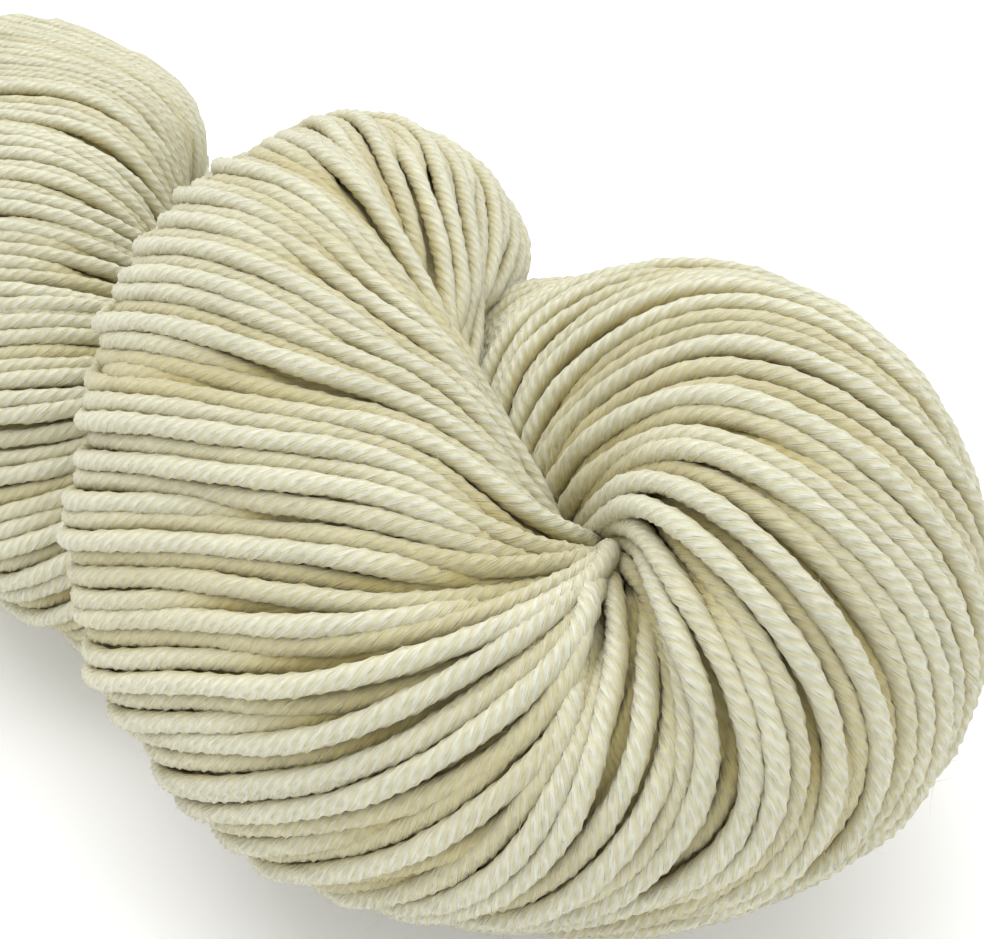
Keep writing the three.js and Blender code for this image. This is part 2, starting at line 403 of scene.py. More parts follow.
# %% The drift of the strands
# Rows are at even steps of length, from the front limb over the fold to the rear limb.
drift_from, drift_step = -160.0, 20.0
drift_table = np.array([
    [0, -0.03, -0.4, 0.02, 0.05],
    [0, -0.34, -0.73, 0.1, 0.11],
    [0.04, -0.17, -0.79, 0.07, 0.15],
    [-1.08, -0.4, -0.7, 0.09, 0.1],
    [-2.34, 0.22, -0.85, 0, 0.11],
    [-2.88, -0.18, -1.13, 0.02, 0.18],
    [-3.38, -0.42, -0.55, 0.1, 0.02],
    [-3.44, 0.35, -0.86, -0.1, 0.16],
    [-4.38, -0.32, -0.5, 0.05, -0.01],
    [-4.32, -1, -0.42, 0.17, -0.07],
    [-1.26, 0.59, 0.13, 0.02, -0.35],
    [0.89, 0.58, 0.47, 0.07, -0.08],
    [2.29, 0.57, 0.44, 0.15, -0.01],
    [2.91, 0.65, 0.4, 0.09, -0.07],
    [2.76, 0.73, 0.06, 0.09, -0.09],
    [2.57, 0.22, -0.27, 0.07, -0.03],
    [2.4, 0.1, -0.2, 0, 0],
])
drift_change = round(float(np.ptp(drift_table[:, 0])), 2)
print("over the hank the drift changes a label by", drift_change)


# %% A label for each place
def bell(x):
    """The smooth bump of a cubic spline: 2/3 at 0, and 0 beyond 2 steps."""
    x = np.abs(x)
    near = 2 / 3 - x**2 + x**3 / 2
    far = (2 - np.minimum(x, 2)) ** 3 / 6
    return np.where(x < 1, near, far)


def strand_label(form, s, v):
    """v + turn * s + drift. The loop has no drift.

    The drift is a sum of bells along s, times 1, cos v, sin v, cos 2v and sin 2v.
    """
    label = v + TURN * s / form["turn"]
    if form is not limbs:
        return label
    waves = [np.ones_like(v), np.cos(v), np.sin(v), np.cos(2 * v), np.sin(2 * v)]
    last = drift_from + drift_step * (len(drift_table) - 2)
    held = np.clip(s, drift_from, last)
    for row_number, row in enumerate(drift_table):
        weight = bell((held - drift_from) / drift_step - row_number)
        for amount, wave in zip(row, waves):
            label = label + amount * weight * wave
    return label


label_grid = strand_label(limbs, np.zeros(4), TURN * np.arange(4) / 4)
print("labels round the fold's tip:", label_grid.round(2))

# %% From a label back to an angle
label_steps = 721             # of the tables, round the section
least_slope = 0.12            # of the label with the angle, so that no strand turns back
row_gap = 7.0                 # over one turn, so that all rows together are one rising list


def label_rule(form, s):
    """Tables that turn a label back into an angle: labels at even angles, for each length.

    The slope is kept above least_slope and then scaled, so one turn of the angle is one turn
    of the label.
    """
    even = np.linspace(0, TURN, label_steps)
    grid_s, grid_v = np.meshgrid(s, even, indexing="ij")
    label = strand_label(form, grid_s, grid_v)
    rise = np.maximum(np.diff(label, axis=1), least_slope * even[1])
    rise = rise * TURN / rise.sum(1, keepdims=True)
    risen = np.concatenate([np.zeros((len(s), 1)), np.cumsum(rise, axis=1)], axis=1)
    return {"first": label[:, 0], "risen": risen, "step": even[1]}


def angle_of(rule, label):
    """Section angles for a table of labels (strands x lengths), by straight interpolation."""
    risen = rule["risen"]
    rows, columns = risen.shape
    wanted = np.mod(label - rule["first"], TURN)
    apart = row_gap * np.arange(rows)
    rising = (risen + apart[:, None]).ravel()
    found = np.searchsorted(rising, (wanted + apart).ravel(), side="right") - 1
    found = found.reshape(label.shape)
    low = np.clip(found - columns * np.arange(rows), 0, columns - 2)
    row = np.broadcast_to(np.arange(rows), label.shape)
    below, above = risen[row, low], risen[row, low + 1]
    return (low + (wanted - below) / np.maximum(above - below, 1e-9)) * rule["step"]


fold_tip = label_rule(limbs, np.array([0.0]))
print("label 0 lies at angle", angle_of(fold_tip, np.zeros((1, 1))).round(2), "at the fold")

# %% [markdown]
# ## The yarn
#
# Four thin plies are twisted together to make this yarn. It is soft, so neighbours press into
# each other and lie closer than the yarn is wide. All the sizes that strands share are here.
# The random numbers come from one generator with a fixed seed, so that the scene is the same
# each time it is made.

# %% Sizes of the yarn
yarn_width = 2.25             # over the plies
strand_gap = 2.1              # usual distance between neighbours, as soft yarn presses in
crowding = 2.0                # the same when counting how many strands have room
ply_twist = 5.4               # length of yarn in which its plies turn once
ply_count = 4
peak, valley = yarn_width * 0.515, yarn_width * 0.455  # middle to a ply and to a groove
buried = 2.4                  # how far down a strand lies that has no room
neighbours = 6                # a strand is pushed by this many others on each side
rng = np.random.default_rng(7)
print("yarn", yarn_width, "mm wide,", ply_count, "plies, each turns in", ply_twist, "mm")


# %% Noise, blur and ranks
def slow_noise(count, s, wave, height):
    """Smooth random curves, one for each strand: random values every wave mm, blended."""
    knots = int(np.ptp(s) / wave) + 4
    values = rng.normal(size=(count, knots))
    at = (s - s[0]) / wave + 1
    low = at.astype(int)
    part = at - low
    part = part * part * (3 - 2 * part)
    return height * (values[:, low] * (1 - part) + values[:, low + 1] * part)


def blurred(table, half):
    """Mean of each row over a window of 2 * half + 1 steps, ends held."""
    padded = np.pad(table, ((0, 0), (half, half)), mode="edge")
    total = np.cumsum(np.pad(padded, ((0, 0), (1, 0))), axis=1)
    return (total[:, 2 * half + 1:] - total[:, :-2 * half - 1]) / (2 * half + 1)


def ranks(levels):
    """Ranks from 0 to 1 for 2^levels strands, such that any first few are evenly spread.

    The rank is the strand's number with its binary digits written backwards.
    """
    number = np.arange(2**levels)
    rank = np.zeros(2**levels)
    for digit in range(levels):
        rank += ((number >> digit) & 1) / 2 ** (digit + 1)
    return rank


print("the ranks of 8 strands:", ranks(3))

# %% [markdown]
# ## Laying the strands
#
# Where strands come together there is no room for all of them, and some dive under their
# neighbours. Where they spread, others come up from below. So we start with more strands than
# can show and give each a rank. A strand shows where there is room for its rank. Those that
# show push each other sideways until they are about evenly apart. Wherever a hole is left, a
# strand comes up to fill it. Crowded strands ride up or sink, as soft wool does. A physics
# run could do this for a few strands, but hundreds would take far too long.

# %% Strands push each other sideways
home_pull = 0.03              # share of the way back to its own place in each round
touch_push, near_push = 0.22, 0.1  # share of what is missing to one gap, and to two gaps
most_offset = 1.2             # gaps that a strand may be moved
blur_offsets = 6              # rounds after which the strands' curves are blurred


def pushed_apart(offset, drift, apart, room, rounds):
    """The offsets after neighbours closer than strand_gap have pushed each other sideways.

    A pair's distance is apart * number + difference of offsets. What it lacks to one gap and
    to two gaps is shared out between the two, times the room of both.
    """
    for step in range(rounds):
        move = home_pull * (drift - offset)
        for far in range(1, neighbours + 1):
            distance = apart * far + np.roll(offset, -far, 0) - offset
            push = touch_push * np.maximum(strand_gap - distance, 0)
            push = push + near_push * np.maximum(2 * strand_gap - distance, 0)
            push = push * room * np.roll(room, -far, 0)
            move = move - push + np.roll(push, far, 0)
        offset = np.clip(offset + move, -most_offset * strand_gap, most_offset * strand_gap)
        if step % blur_offsets == blur_offsets - 1:
            offset = blurred(offset, 2)
    return offset


at_home = np.zeros((16, 9))
only_two = at_home + np.isin(np.arange(16), (7, 8))[:, None]
moved = pushed_apart(at_home, at_home, at_home + 1.0, only_two, 30)
print("two strands that start 1 mm apart move by", moved[7:9, 4].round(2))

# %% Strands fill the holes
hole_from, hole_full = 0.64, 0.82  # gaps to the nearest strand: a hole begins, and is whole
search = 24                   # strands to look at on each side
far_away = 99.0


def holes_filled(offset, apart, room, levels):
    """The room again, with a strand brought up wherever two that show leave a hole.

    A place is a hole where its nearest strand is far away: smooth(nearest, from, full). The
    coarse levels come first: a strand of level k has the number (2 m + 1) 2^k.
    """
    number = np.arange(2**levels)
    room = room.copy()
    for level in range(levels - 1, -1, -1):
        nearest = np.full(room.shape, far_away)
        for far in range(1, search + 1):
            for way in (far, -far):
                moved = np.sign(way) * (np.roll(offset, -way, 0) - offset)
                distance = np.abs(apart * far + moved)
                seen = np.roll(room, -way, 0) > 0.5
                nearest = np.where(seen, np.minimum(nearest, distance), nearest)
        hole = smooth(nearest, hole_from * strand_gap, hole_full * strand_gap)
        mine = number % 2 ** (level + 1) == 2**level
        room[mine] = np.maximum(room, hole)[mine]
    return blurred(room, 3)


print("a hole begins", round(hole_from * strand_gap, 2), "mm from the nearest strand")


# %% Crowded strands part in height
height_pull, height_push = 0.03, 0.2  # share of the way back to the surface, and of a push
most_lift = 0.6               # mm that a strand may ride up
height_rounds, blur_heights = 40, 8


def parted(height, offset, apart, room):
    """The heights after each crowded pair has been parted.

    A pair's distance is hypot(sideways, rise). What it lacks to yarn_width lifts the higher
    strand and lowers the other.
    """
    for step in range(height_rounds):
        move = -height_pull * height
        for far in range(1, neighbours + 1):
            distance = apart * far + np.roll(offset, -far, 0) - offset
            rise = np.roll(height, -far, 0) - height
            both = room * np.roll(room, -far, 0)
            whole = np.hypot(distance, rise)
            push = height_push * np.maximum(yarn_width - whole, 0) * both
            push = push * np.where(rise < 0, -1, 1)
            move = move - push + np.roll(push, far, 0)
        height = np.clip(height + move, -buried, most_lift)
        if step % blur_heights == blur_heights - 1:
            height = blurred(height, 2)
    return height


heights = parted(at_home + 0.1 * only_two.cumsum(0), at_home, at_home + 1.0, only_two)
print("the same two, left at 1 mm, part to heights", heights[7:9, 4].round(2))


# %% Laying
lay_step = 1.5                # steps of length on the limb while the strands are laid
wander_wave, lift_wave = 30, 24  # length of the slow waves sideways and up, in mm
rank_softness = 0.05          # ranks over which a strand comes up
small_turn = 0.02             # label step that measures how wide one label is
least_width = 0.3             # mm for each label, so that nothing is divided by 0
most_labels = 6               # places among the strands that one may be moved
first_rounds, later_rounds = 90, 40  # of pushing, before and after holes are filled


def lay_strands(form, levels, wander, lift):
    """Lengths, section angles, heights and room (strands x steps) along a form.

    The width is the distance between two labels, square to the strand. Room is
    smooth(apart / crowding - rank). Then the strands are moved by the three rules above.
    """
    count = 2**levels
    s = np.arange(form["s"][0], form["s"][-1], lay_step)
    rule = label_rule(form, s)
    home = TURN * np.arange(count)[:, None] / count + np.zeros(len(s))
    grid_s = np.broadcast_to(s, home.shape)
    none = np.zeros_like(home)
    place = on_form(form, grid_s, angle_of(rule, home), none)
    before = on_form(form, grid_s, angle_of(rule, home - small_turn), none)
    after = on_form(form, grid_s, angle_of(rule, home + small_turn), none)
    by_length = unit(np.gradient(place, axis=1))
    by_label = (after - before) / (2 * small_turn)
    width = np.linalg.norm(np.cross(by_label, by_length), axis=-1)
    width = np.maximum(blurred(width, 2), least_width)
    apart = width * TURN / count
    room = apart / crowding - ranks(levels)[:, None]
    room = blurred(smooth(room, -rank_softness, rank_softness), 4)

    drift = slow_noise(count, s, wander_wave, wander)
    offset = pushed_apart(drift, drift, apart, room, first_rounds)
    for again in range(2):
        room = holes_filled(offset, apart, room, levels)
        offset = pushed_apart(offset, drift, apart, room, later_rounds)
    height = parted(slow_noise(count, s, lift_wave, lift), offset, apart, room)
    height = height - buried * (1 - room)

    shown = (room > 0.5).sum(0)
    print(count, "strands,", shown.min(), "to", shown.max(), "show, spacing",
          round(float(np.median(apart[:, ::8])), 2), "mm before room is made")
    most = most_labels * TURN / count
    return s, angle_of(rule, home + np.clip(offset / width, -most, most)), height, room


# %% [markdown]
# ## Which stretches show
#
# Where the two limbs press together, or the loop lies on the neck, strands run inside the
# other limb. They would never be seen and would cost thousands of triangles. A Boolean could
# cut them, but it is slow and leaves flat ends. Instead we fill each limb with small cubes,
# voxels, and leave out the stretches of strand that lie in the voxels of another limb.

# %% Voxels
VOXEL = 1.5                   # mm
voxel_start, voxel_row = -200, 1000  # where the voxels are counted from, and most in a row
fill_around, fill_layers = 120, 16   # points round a section, and layers from its middle
fill_start = 0.04             # share of the way to the surface at which the layers start
limb_share, loop_share = 0.86, 0.8   # the same at which they end


def voxel_number(points):
    """One whole number for the voxel that holds each point: (x * row + y) * row + z."""
    cell = np.floor((points - voxel_start) / VOXEL).astype(np.int64)
    return (cell[..., 0] * voxel_row + cell[..., 1]) * voxel_row + cell[..., 2]


def filled(form, where, share):
    """Set of voxel numbers inside the part of a form where `where` is true.

    The form is filled with points at shares of its reach up to `share`.
    """
    s = form["s"][where][::2]
    around = np.linspace(0, TURN, fill_around, endpoint=False)
    thickness = np.minimum(form["outer"][where][::2], form["breadth"][where][::2])
    cells = []
    for part in np.linspace(fill_start, share, fill_layers):
        grid_s, grid_v = np.meshgrid(s, around, indexing="ij")
        inset = np.broadcast_to((thickness * (1 - part))[:, None], grid_s.shape)
        cells.append(voxel_number(on_form(form, grid_s, grid_v, inset).reshape(-1, 3)))
    return np.unique(np.concatenate(cells))


near_fold = 16.0              # length each side of the tip in which no strand is hidden
front_voxels = filled(limbs, limbs["s"] < -near_fold, limb_share)
rear_voxels = filled(limbs, limbs["s"] > near_fold, limb_share)
loop_voxels = filled(loop, np.ones(len(loop["s"]), bool), loop_share)
print("voxels:", len(front_voxels), len(rear_voxels), len(loop_voxels))

# %% [markdown]
# ## Strands as runs of points
#
# A strand that dives out of sight and comes up again gives several runs. Each run is a table
# of points with their outward direction. Its ends dip below the neighbours, so that no cut end
# shows, and the points are eased, because yarn can't bend sharply.

# %% Even steps
def resampled(line, step):
    """The rows of a line at even steps of its length, with those lengths.

    The step may differ from row to row.
    """
    length = np.linalg.norm(np.diff(line[:, :3], axis=0), axis=1)
    length = np.concatenate([[0], np.cumsum(length)])
    rows = np.cumsum(np.diff(length) / np.broadcast_to(step, len(line))[1:])
    rows = np.concatenate([[0], rows])
    even = np.linspace(0, rows[-1], max(int(rows[-1]), 3) + 1)
    even = np.interp(even, rows, length)
    return np.stack([np.interp(even, length, column) for column in line.T], -1), even


ten_mm = np.array([[0.0, 0, 0], [10, 0, 0]])
print("10 mm in steps of about 3:", resampled(ten_mm, 3)[1].round(2))

# %% Runs
enough_room = 0.3             # room from which a strand is made
shortest_run = 4              # steps; anything shorter is left out
end_dip, dip_steps = 1.8, 5   # mm that a strand dips at its ends, and steps that this takes
run_step = 1.2                # mm between the points of a run
easing = 14                   # rounds of easing along a strand
probe = 1.0                   # mm above and below a point that give its outward direction


def shown_runs(form, s, v, height, room, hidden_by, base):
    """Cuts each strand into the runs that show: tables of x y z, outward x y z and height.

    hidden_by lists (where, voxels): strand steps for which `where` holds are hidden when they
    lie in those voxels. A run keeps a little hidden yarn at both ends, and dips there by
    end_dip. Then each point moves to half itself plus a quarter of each neighbour, some
    times over.
    """
    grid_s = np.broadcast_to(s, v.shape)
    inset = base - height
    centre = on_form(form, grid_s, v, inset, table_gap=peak)
    above, below = (on_form(form, grid_s, v, inset + way) for way in (-probe, probe))
    outwards = unit(above - below)
    show = room > enough_room
    number = voxel_number(centre)
    for where, voxels in hidden_by:
        show &= ~(where[None, :] & np.isin(number, voxels))
    keep = blurred(show.astype(float), 2) > 0.05
    edge = np.diff(np.pad(keep.astype(int), ((0, 0), (1, 1))), axis=1)
    runs = []
    for strand in range(len(v)):
        starts, ends = np.nonzero(edge[strand] == 1)[0], np.nonzero(edge[strand] == -1)[0]
        for a, b in zip(starts, ends):
            if b - a > shortest_run:
                to_end = np.minimum(np.arange(b - a), np.arange(b - a)[::-1])
                dip = end_dip * (1 - smooth(to_end, 0, dip_steps))[:, None]
                up = outwards[strand, a:b]
                line = np.hstack([centre[strand, a:b] - up * dip, up,
                                  height[strand, a:b, None] - dip])
                line = resampled(line, run_step)[0]
                for again in range(easing):
                    line[1:-1] = line[1:-1] / 2 + (line[:-2] + line[2:]) / 4
                runs.append((strand, line))
    return runs


print("a run needs over", shortest_run * lay_step, "mm of strand in sight")

# %% Lay the limbs and the loop
base_inset = yarn_width * 0.3  # surface of the solid to the middle of a strand
s, v, height, room = lay_strands(limbs, levels=8, wander=0.75, lift=0.65)
everywhere = np.ones(len(s), bool)
limb_runs = shown_runs(
    limbs, s, v, height, room,
    [(s > near_fold, front_voxels), (s < -near_fold, rear_voxels), (everywhere, loop_voxels)],
    base_inset,
)
s, v, height, room = lay_strands(loop, levels=6, wander=0.6, lift=0.5)
everywhere = np.ones(len(s), bool)
loop_runs = shown_runs(
    loop, s, v, height, room, [(everywhere, front_voxels), (everywhere, rear_voxels)],
    base_inset,
)
print(len(limb_runs), "runs on the limbs and", len(loop_runs), "on the loop")

# %% [markdown]
# ## From runs to yarn
#
# Blender can sweep a round bevel along a curve, but then every strand is a smooth hose. Real
# yarn shows its plies. So each ring of our tubes has eight corners, and every second one
# stands out. The rings turn as they go, once in each twist, and the raised corners become the
# four plies. Rings are closer near the fold, where we look from near by.

# %% A mesh from points and faces
def mesh_piece(name, points_mm, face_tables, uv):
    """A smooth mesh object from points in mm and tables of faces with equal corner counts.

    The map's first number counts turns round a strand, and its second the length in cm.
    """
    mesh = bpy.data.meshes.new(name)
    mesh.vertices.add(len(points_mm))
    mesh.vertices.foreach_set("co", (points_mm * MM).astype(np.float32).ravel())
    corners = np.concatenate([table.ravel() for table in face_tables]).astype(np.int32)
    counts = np.concatenate([np.full(len(t), t.shape[1]) for t in face_tables])
    starts = np.concatenate([[0], np.cumsum(counts)[:-1]]).astype(np.int32)
    mesh.loops.add(len(corners))
    mesh.loops.foreach_set("vertex_index", corners)
    mesh.polygons.add(len(starts))
    mesh.polygons.foreach_set("loop_start", starts)
    mesh.polygons.foreach_set("use_smooth", np.ones(len(starts), bool))
    layer = mesh.uv_layers.new(name="UVMap")
    layer.data.foreach_set("uv", (uv * [1, 0.1]).astype(np.float32).ravel())
    mesh.update(calc_edges=True)
    mesh.validate()
    piece = bpy.data.objects.new(name, mesh)
    bpy.context.scene.collection.objects.link(piece)
    return piece


# %% Rings along the runs
ring_step = (0.88, 1.15)      # mm of yarn from ring to ring, near the fold and far from it
ring_change = (-20.0, 60.0)   # where this changes, in mm towards the far end
below_change = (0.0, 0.5)     # the same for strands that look down
tone_step = 0.618             # of one turn of tones, so that neighbours differ
width_waves = ((0.05, 13.0, 2), (0.035, 5.3, 1))  # share, length in mm, and shift
deepest = 1.8                 # depth below the surface at which a strand gets the full painted shade
side_shade = (-0.55, 0.35)    # how far down a strand's side its shade begins and is full


def rings_along(runs):
    """The points of all runs at even rings, with each one's length, run and tone."""
    lines, lengths, owners, tones = [], [], [], []
    for number, (strand, line) in enumerate(runs):
        far = smooth(-line[:, 0], *ring_change)
        coarse = np.maximum(far, smooth(-line[:, 5], *below_change))
        line, length = resampled(line, mix(*ring_step, coarse))
        lines.append(line)
        lengths.append(length)
        owners.append(np.full(len(line), number))
        tones.append(np.full(len(line), (strand * tone_step) % 1))
    return [np.concatenate(column) for column in (lines, lengths, owners, tones)]


print("rings lie from", ring_step[0], "to", ring_step[1], "mm apart")


# %% Corners of the rings
def ring_corners(line, up, length, phase, first, last, radii, twist):
    """Corners of all rings (rings x sides x 3), and the angle of each from straight up.

    Corner j has the radius radii[j] and the angle 2 pi j / n - 2 pi length / twist + phase,
    so the corners turn with the plies. Two slow waves of the length make each strand a little
    thicker and thinner on its way. No corner lies below the table.
    """
    ahead = np.where(last[:, None], line, np.roll(line, -1, 0))
    behind = np.where(first[:, None], line, np.roll(line, 1, 0))
    along = unit(ahead - behind)
    up = unit(up - along * (up * along).sum(-1, keepdims=True))
    side = np.cross(along, up)
    angle = TURN * np.arange(len(radii))[None, :] / len(radii)
    angle = angle - (TURN * length / twist)[:, None] + phase[:, None]
    loose = sum(
        share * np.sin(TURN * length / wave + times * phase)
        for share, wave, times in width_waves
    )
    radius = np.asarray(radii)[None, :, None] * (1 + loose)[:, None, None]
    points = line[:, None] + radius * (
        np.cos(angle)[..., None] * up[:, None] + np.sin(angle)[..., None] * side[:, None]
    )
    points[..., 2] = np.maximum(points[..., 2], 0.0)
    return points, angle


# %% One piece of yarn
def yarn_mesh(name, runs, radii, twist):
    """Closed tubes along the runs, as one mesh.

    Ring and next ring are joined corner by corner, and the first and last ring are capped.
    The map's numbers are corner / n and length. The mesh also keeps each strand's tone, and
    the painted shade of each corner: the greater of its strand's depth and its own turn
    downwards.
    """
    sides = len(radii)
    lines, length, owner, tone = rings_along(runs)
    line, up, depth = lines[:, :3], lines[:, 3:6], np.clip(-lines[:, 6] / deepest, 0, 1)
    first = np.concatenate([[True], owner[1:] != owner[:-1]])
    last = np.concatenate([owner[1:] != owner[:-1], [True]])
    phase = rng.uniform(0, TURN, owner[-1] + 1)[owner]
    points, angle = ring_corners(line, up, length, phase, first, last, radii, twist)

    corner = np.arange(sides)
    joined = np.nonzero(~last)[0]
    a = joined[:, None] * sides + corner
    b = joined[:, None] * sides + (corner + 1) % sides
    quads = np.stack([a, b, b + sides, a + sides], -1).reshape(-1, 4)
    caps_start = np.nonzero(first)[0][:, None] * sides + corner[::-1]
    caps_end = np.nonzero(last)[0][:, None] * sides + corner
    caps = np.concatenate([caps_start, caps_end])

    u = np.stack([corner, corner + 1, corner + 1, corner], -1) / sides
    u = np.broadcast_to(u, (len(joined), sides, 4)).reshape(-1)
    v = np.stack([length[joined], length[joined], length[joined + 1], length[joined + 1]], -1)
    v = np.repeat(v[:, None], sides, 1).reshape(-1)
    cap_v = np.repeat(np.concatenate([length[first], length[last]]), sides)
    cap_u = np.tile(corner / sides, len(caps))
    uv = np.stack([np.concatenate([u, cap_u]), np.concatenate([v, cap_v])], -1)

    piece = mesh_piece(name, points.reshape(-1, 3), [quads, caps], uv)
    # Painted shade: darker for strands that lie deep and for each strand's sides and
    # underside.
    painted_shade = np.maximum(depth[:, None], smooth(-np.cos(angle), *side_shade))
    for label, values in (("tone", np.repeat(tone, sides)), ("painted_shade", painted_shade.ravel())):
        layer = piece.data.attributes.new(label, "FLOAT", "POINT")
        layer.data.foreach_set("value", values.astype(np.float32))
    print(name, len(runs), "runs,", round(length[last].sum() / 1000, 1), "m,",
          len(quads) * 2 + len(caps) * (sides - 2), "triangles")
    return piece


# %% The strands' pieces
# The limbs' strands are dealt out to six pieces, since one mesh of them all would be heavy.
radii = [peak, valley] * ply_count
groups = 6
strand_pieces = [
    yarn_mesh(f"limb_strands_{part + 1}", limb_runs[part::groups], radii, ply_twist)
    for part in range(groups)
]
strand_pieces.append(yarn_mesh("loop_strands", loop_runs, radii, ply_twist))

# %% [markdown]
# ## The inner layer
#
# Between two strands one sees the next layer, never a smooth wall. Full strands down there
# would double the triangles. So one closed skin lies a strand's width down, and its ribs run
# the same way as the strands. Four columns of points to a rib are enough, because only thin
# slits of it show. This skin stands in for the solid, which is then left out of the picture.

# %% The inner layer
rib_columns = 4               # columns of points to a rib
core_inset, rib_height = yarn_width * 1.25, 0.9
core_step = 3.5               # mm from row to row
core_gap = 0.4                # least height above the table


def ring_skin(rows, sides):
    """Faces of a closed skin of rings: quads between the rings, and a fan at each end.

    The two points after the last ring are the middles of the fans.
    """
    corner = np.arange(sides)
    a = np.arange(rows - 1)[:, None] * sides + corner
    b = np.arange(rows - 1)[:, None] * sides + (corner + 1) % sides
    quads = np.stack([a, b, b + sides, a + sides], -1).reshape(-1, 4)
    last_row = (rows - 1) * sides
    middle = np.full(sides, rows * sides)
    first_fan = np.stack([(corner + 1) % sides, corner, middle], -1)
    last_fan = np.stack([last_row + corner, last_row + (corner + 1) % sides, middle + 1], -1)
    return quads, np.concatenate([first_fan, last_fan])


def ribbed_core(name, form, ribs):
    """A closed soft core whose surface is ribbed like a layer of strands below the first.

    Its columns follow the strand labels. The inset is
    core_inset - rib_height * |cos(ribs * label / 2)|, so each rib is half a wave. On the map
    a rib takes half a turn, since half of a strand shows, and slants by length / twist.
    """
    s = np.arange(form["s"][0] + 1, form["s"][-1] - 1, core_step)
    sides = ribs * rib_columns
    corner = np.arange(sides)
    label = TURN * corner[:, None] / sides + np.zeros(len(s))
    wave = np.abs(np.cos(ribs * label / 2)).T
    grid_v = angle_of(label_rule(form, s), label).T
    grid_s = np.broadcast_to(s[:, None], grid_v.shape)
    place = on_form(form, grid_s, grid_v, core_inset - rib_height * wave, table_gap=core_gap)
    points = np.concatenate([place.reshape(-1, 3), place[[0, -1]].mean(1)])
    quads, fans = ring_skin(len(s), sides)

    phase = rng.uniform(0, 1, ribs)[(corner + rib_columns // 2) // rib_columns % ribs]
    u = np.stack([corner, corner + 1, corner + 1, corner], -1) / (2 * rib_columns)
    u = u + phase[:, None]
    v = np.stack([s[:-1], s[:-1], s[1:], s[1:]], -1)
    v = np.broadcast_to(v[:, None], (len(s) - 1, sides, 4))
    uv = np.stack([u + v / ply_twist, v], -1).reshape(-1, 2)
    uv = np.concatenate([uv, np.zeros((fans.size, 2))])
    piece = mesh_piece(name, points, [quads, fans], uv)
    print(name, len(quads) * 2 + len(fans), "triangles")
    return piece


core = ribbed_core("inner_strands", limbs, 60)
loop_core = ribbed_core("loop_inner_strands", loop, 32)

# %% [markdown]
# ## Loose fibres
#
# Wool is never quite smooth. Fine hairs stand off each strand and soften its edge. Blender has
# hair of its own, but the exported model holds meshes alone. So we lay a few thousand hairs
# as thin tubes, each of which leaves its strand at a slant and curls.

# %% Hairs
hair_count, hair_radius, hair_length = 4600, 0.02, (0.8, 3.0)
hair_depth = -0.8             # no hair starts on a strand that lies deeper, in mm
hair_root = 0.42              # of the yarn's width, from a strand's middle to a hair's start
hair_round = 1.3              # angle each way from straight up at which a hair starts
hair_forward, hair_out = (0.5, 1), (0.1, 0.7)  # shares of its length along and outwards
hair_curl = 0.35              # usual share of its length by which it curls
hair_points, hair_sides = 4, 3
hair_taper = 0.67             # share of the radius lost at the tip
off_axis = 0.31               # keeps the sides' direction clear of the hair's own


def hair_mesh(name, runs, count):
    """Three-sided tubes along start + t * lean + t^2 * curl, where t runs from 0 to 1.

    A hair starts on the outer half of a strand. Its radius falls to a third at the tip.
    """
    lines = np.concatenate([line for strand, line in runs])
    starts, ups, high = lines[:, :3], unit(lines[:, 3:6]), lines[:, 6] > hair_depth
    alongs = np.concatenate([unit(np.gradient(line[:, :3], axis=0)) for strand, line in runs])
    picked = rng.choice(np.nonzero(high)[0], count)
    start, up, along = starts[picked], ups[picked], alongs[picked]
    side = np.cross(along, up)
    round_angle = rng.uniform(-hair_round, hair_round, (count, 1))
    out = np.cos(round_angle) * up + np.sin(round_angle) * side
    length = rng.uniform(*hair_length, (count, 1))
    way = np.where(rng.random((count, 1)) < 0.5, -1, 1)
    forward = way * rng.uniform(*hair_forward, (count, 1))
    lean = length * (forward * along + rng.uniform(*hair_out, (count, 1)) * out)
    curl = length * rng.normal(0, hair_curl, (count, 3))

    start = start + out * yarn_width * hair_root
    t = np.linspace(0, 1, hair_points)[None, :, None]
    line = start[:, None] + t * lean[:, None] + t**2 * curl[:, None]
    line[..., 2] = np.maximum(line[..., 2], 3 * hair_radius)
    ahead = unit(np.gradient(line, axis=1))
    across = unit(np.cross(ahead, out[:, None] + off_axis * along[:, None]))
    third = np.cross(ahead, across)
    angle = (TURN * np.arange(hair_sides) / hair_sides)[:, None]
    radius = (hair_radius * (1 - hair_taper * t))[..., None]
    ring = np.cos(angle) * across[:, :, None] + np.sin(angle) * third[:, :, None]
    points = line[:, :, None] + radius * ring

    first = (np.arange(count) * hair_points)[:, None, None] * hair_sides
    row = np.arange(hair_points - 1)[None, :, None] * hair_sides
    corner = np.arange(hair_sides)
    a, b = first + row + corner, first + row + (corner + 1) % hair_sides
    quads = np.stack([a, b, b + hair_sides, a + hair_sides], -1).reshape(-1, 4)
    root = first[:, :, 0]
    tip = root + (hair_points - 1) * hair_sides
    caps = np.concatenate([root + corner[::-1], tip + corner])
    uv = np.zeros((quads.size + caps.size, 2))
    piece = mesh_piece(name, points.reshape(-1, 3), [quads, caps], uv)
    print(name, count, "hairs,", len(quads) * 2 + len(caps), "triangles")
    return piece


hairs = hair_mesh("loose_fibres", limb_runs + loop_runs, hair_count)
